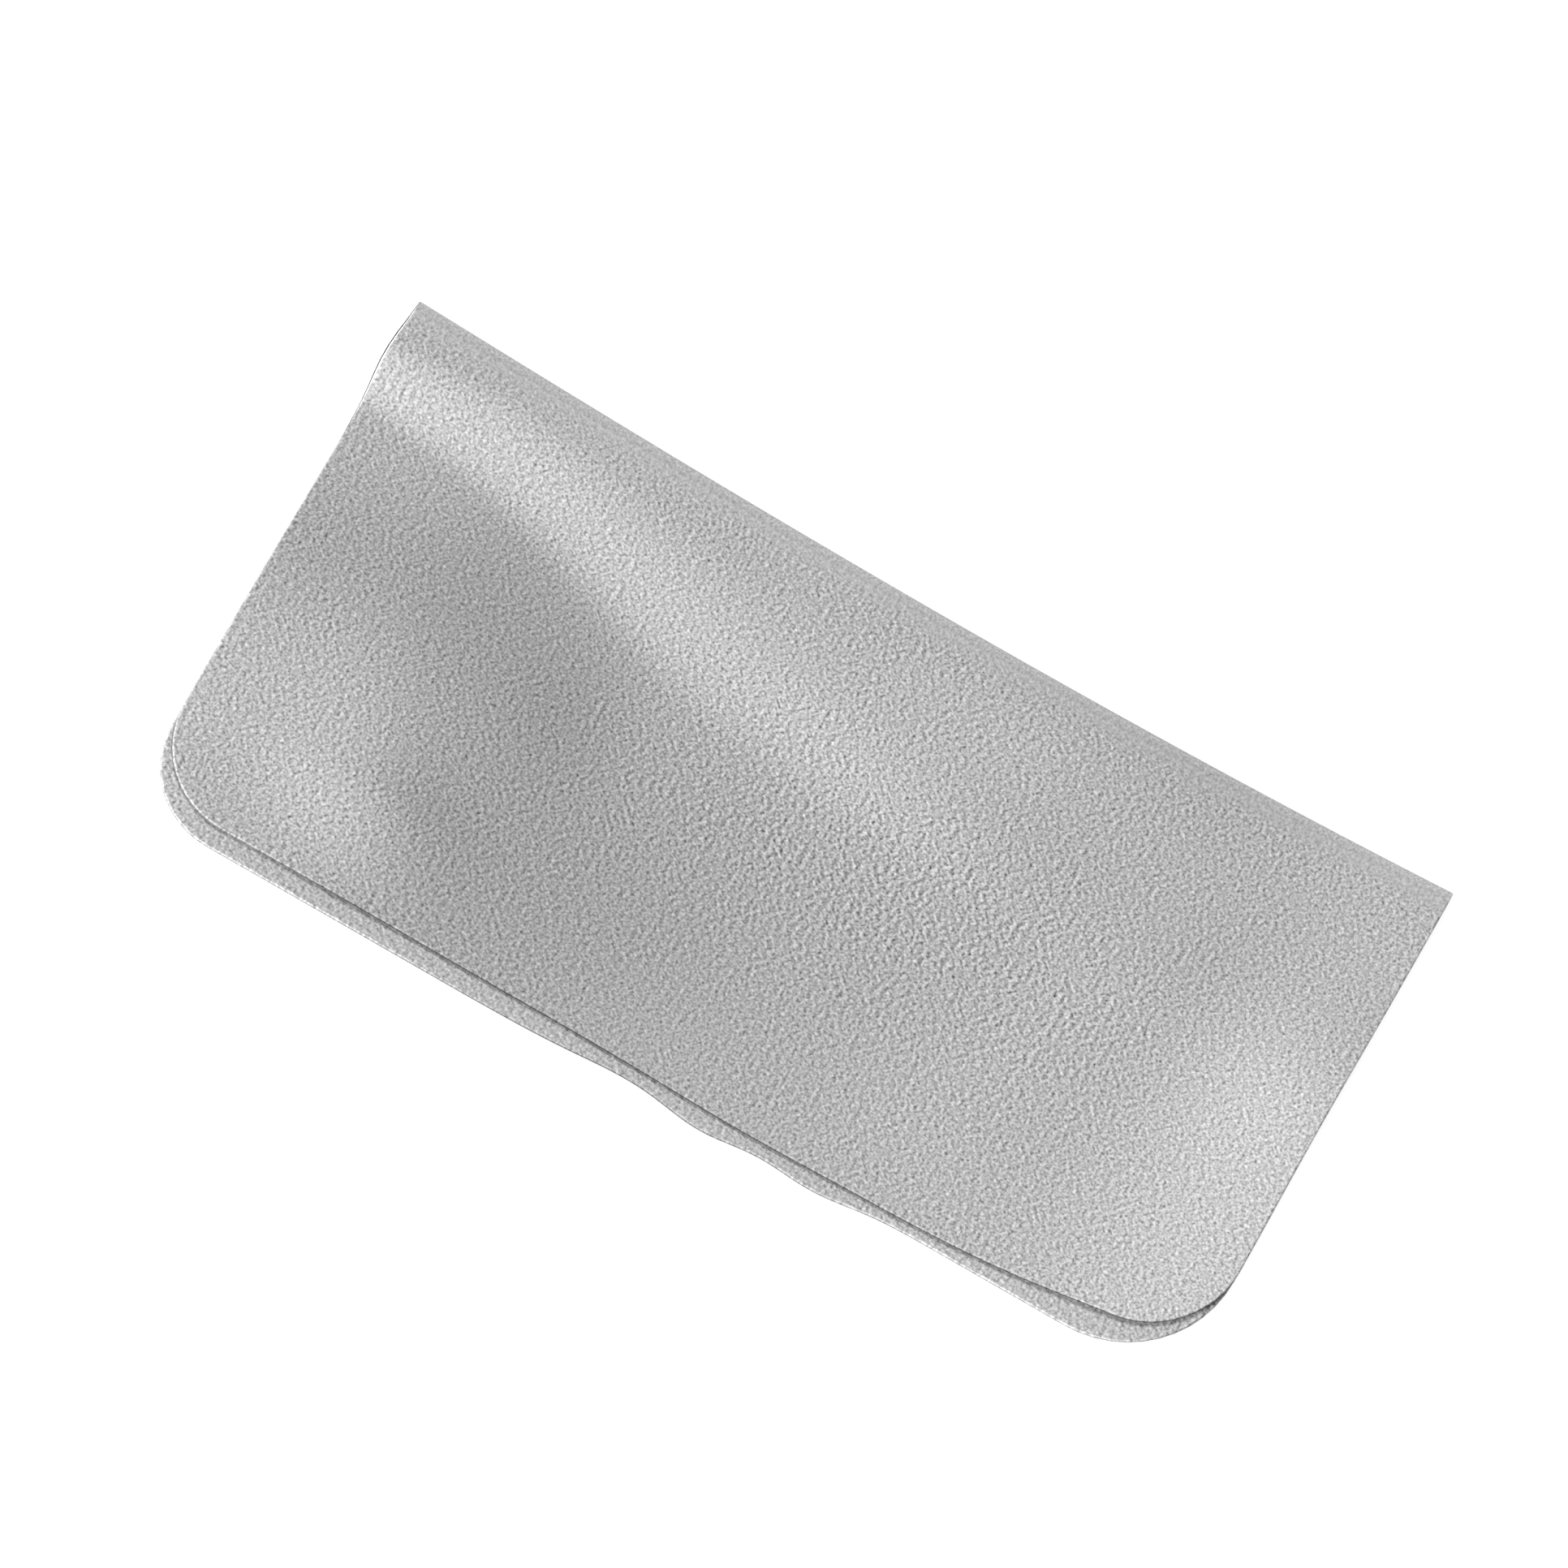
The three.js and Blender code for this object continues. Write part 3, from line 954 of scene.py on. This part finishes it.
# %% Columns, rows and bend of an arc
ARC_COLUMNS = 30
ARC_ROWS = 6
BLEND_SHARE = 0.6


def arc_patch(number, span):
    """The flat grid of one arc of the roll, between two places along the fold."""

    def grid(inset):
        left, right = max(span[0], inset - HALF_LENGTH), min(span[1], HALF_LENGTH - inset)
        x = np.linspace(left, right, ARC_COLUMNS + 1)
        v = np.linspace(number, number + 1, ARC_ROWS + 1) * arc_length
        return np.meshgrid(x, v, indexing="ij")

    return grid


def bend_ends(number, span):
    """Where an arc's bend starts and ends, along a chord that is square to the bow of its span."""
    ends = middle_of_sheet(sum(span) / 2, np.array([number, number + 1]) * arc_length)
    start, end = Vector(ends[0]), Vector(ends[1])
    chord = end - start
    chord.x = chord.y * (fold_bow(span[1]) - fold_bow(span[0])) / (span[1] - span[0])
    centre, reach = (start + end) / 2, chord * BLEND_SHARE / 2
    return centre - reach, centre + reach


print(f"Each arc is {arc_length / MM:.2f} mm long round the roll")

# %% [markdown]
# ## The arcs of the roll
#
# Each hinge has its arc of the roll. One mesh for the whole roll would be simpler, but it could follow
# only one hinge. The five strips of the solid model lie between the six hinges, so the arc of a hinge
# takes the place of the strip that comes after it.

# %% The arcs in their spans and layers
# The spans from left to right, and which of each one's sides are free
SPANS = {"left": ("left",), "mid_left": (), "mid_right": (), "right": ("right",)}
for number in range(len(fold_lines)):
    for at, (word, free_sides) in enumerate(SPANS.items()):
        span = place(at / len(SPANS)), place((at + 1) / len(SPANS))
        start, end = bend_ends(number, span)
        for layer_name in LAYERS:
            name = f"fold_{number + 1}_{word}_{layer_name}"
            piece = add_piece(name, arc_patch(number, span), layer_name, free_sides)
            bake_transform(piece)
            if number < len(fold_lines) - 1:
                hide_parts(f"fold_strip_{number + 1}_{layer_name}")
print(f"{len(fold_lines) * len(SPANS) * len(LAYERS)} pieces in the roll")

# %% [markdown]
# ## The pieces of each layer
#
# Each layer was cut flat before it was folded, and its flat size is known. Its two leaves ride on
# different bodies, and its pieces of the roll lie between them. Here the pieces of each layer are counted.

# %% The pieces of each layer
for layer_name, (lower, upper, *arcs) in pieces.items():
    print(f"{layer_name}: two leaves and {len(arcs)} pieces of the roll")

# %% [markdown]
# ## The table
#
# The cloth lies on plain white paper, which should look white without throwing its light on the
# cloth. Brighter lamps would whiten it, and wash out the suede. So what the camera sees of the
# table is a dim paper with a glow, which still keeps the shadow of the cloth, and everything else
# meets an ordinary pale paper. The cloth is matt, so no reflection has to show the glow.

# %% A white table that keeps the shadow
TABLE_HALF = 3.0
PAPER = (0.85, 0.85, 0.85, 1)
DIM_PAPER = (0.25, 0.25, 0.25, 1)
GLOW = {"Color": (1, 1, 1, 1), "Strength": 0.85}


def table_finish():
    finish = Finish("white_table")
    seen = finish.add("ShaderNodeLightPath", {}, {}, "Is Camera Ray")
    paper = finish.add("ShaderNodeBsdfDiffuse", {}, {"Color": PAPER})
    dim_paper = finish.add("ShaderNodeBsdfDiffuse", {}, {"Color": DIM_PAPER})
    glow = finish.add("ShaderNodeEmission", {}, GLOW)
    glowing = finish.add("ShaderNodeAddShader", {}, {0: dim_paper, 1: glow})
    return finish.show(finish.add("ShaderNodeMixShader", {}, {0: seen, 1: paper, 2: glowing}))


corners = [(x * TABLE_HALF, y * TABLE_HALF, 0) for x, y in ((-1, -1), (1, -1), (1, 1), (-1, 1))]
table_mesh = bpy.data.meshes.new("table")
table_mesh.from_pydata(corners, [], [(0, 1, 2, 3)])
table_mesh.materials.append(table_finish())
table = bpy.data.objects.new("table", table_mesh)
bpy.context.scene.collection.objects.link(table)

# %% [markdown]
# ## The light
#
# A low lamp from the front left grazes the cloth, so that its ridge and swells throw soft shade. A
# lamp from above fills that shade, and a weak one from behind lights the roll. A single bright sky
# would light everything, but suede without a direction of light looks like paper.

# %% The lamps and the sky
LAMP_DISTANCE = 1.6
# Where each lamp stands, in degrees round the cloth and above the table, its side and its power
LAMPS = {"key": (233, 9, 0.3, 48), "over": (100, 80, 0.4, 13.2), "rim": (75, 25, 0.4, 4.2)}
SKY = {"Color": (1, 1, 1, 1), "Strength": 0.13}


def add_lamp(name, azimuth, elevation, side, power):
    lamp = bpy.data.lights.new(name, "AREA")
    lamp.shape = "SQUARE"
    lamp.size = side
    lamp.energy = power
    holder = bpy.data.objects.new(name, lamp)
    bpy.context.scene.collection.objects.link(holder)
    a, e = radians(azimuth), radians(elevation)
    holder.location = Vector((cos(a) * cos(e), sin(a) * cos(e), sin(e))) * LAMP_DISTANCE
    holder.rotation_euler = (-holder.location).to_track_quat("-Z", "Y").to_euler()
    print(f"{name} lamp: {power} W")


sky = bpy.data.worlds.new("studio")
bpy.context.scene.world = sky
sky.use_nodes = True
background = sky.node_tree.nodes["Background"]
for name, value in SKY.items():
    background.inputs[name].default_value = value
for name, values in LAMPS.items():
    add_lamp(name, *values)

# %% [markdown]
# ## Where the camera looks
#
# The photo looks down on the cloth from the side of its free edges. The camera could be placed by
# eye. Here it is worked out from the two ends of the fold: their distance in pixels gives the
# scale, their slope gives how the camera is turned, and the place of the picture's centre between
# them gives the point that it looks at.

# %% From pixels of the photo to the cloth
FOLD_END_LEFT = Vector((519, 372))
FOLD_END_RIGHT = Vector((1791, 1101))
PHOTO_SIDE = 1932
ELEVATION = radians(74)

fold_px = FOLD_END_RIGHT - FOLD_END_LEFT
along_px = fold_px.normalized()
across_px = Vector((-along_px.y, along_px.x))
px_per_metre = fold_px.length / LENGTH
to_centre = Vector((PHOTO_SIDE / 2, PHOTO_SIDE / 2)) - FOLD_END_LEFT

x_axis = Vector((1, 0, 0))
up_slope = Vector((0, sin(ELEVATION), cos(ELEVATION)))
backwards = Vector((0, -cos(ELEVATION), sin(ELEVATION)))
fold_top = roll_y * sin(ELEVATION) + roll_z * cos(ELEVATION) + roll_radius + half_sheet
centre_x = to_centre.dot(along_px) / px_per_metre - HALF_LENGTH
centre_up = fold_top - to_centre.dot(across_px) / px_per_metre
target = Vector((centre_x, (centre_up - roll_z * cos(ELEVATION)) / sin(ELEVATION), roll_z))
print(f"{px_per_metre * MM:.2f} pixels per mm, looking at {in_mm([target])[0]} mm")

# %% [markdown]
# ## The camera
#
# The photo shows almost no perspective, so it was taken with a long lens from far away. An
# orthographic camera would be close to that. A real long lens, at the distance that gives the
# right scale, is as easy and closer still.

# %% The camera at its distance
LENS = 600.0
FARTHEST_SEEN = 20

lens = bpy.data.cameras.new("camera")
lens.lens = LENS
lens.sensor_fit = "HORIZONTAL"
lens.clip_end = FARTHEST_SEEN
fold_depth = (Vector((0, roll_y, roll_z)) - target).dot(-backwards)
distance = LENS * PHOTO_SIDE / px_per_metre / lens.sensor_width - fold_depth
right = x_axis * along_px.x + up_slope * along_px.y
up = up_slope * along_px.x - x_axis * along_px.y
axes = Matrix((right, up, backwards)).transposed().to_4x4()
camera = bpy.data.objects.new("camera", lens)
camera.matrix_world = Matrix.Translation(target + backwards * distance) @ axes
bpy.context.scene.collection.objects.link(camera)
bpy.context.scene.camera = camera
print(f"Camera {distance:.2f} m away")

# %% [markdown]
# ## The view transform
#
# The soft cloth has to stay in the space of the solid model. The view transform is Standard, so that a
# grey comes out as it was written.

# %% The view transform
bpy.context.scene.view_settings.view_transform = "Standard"
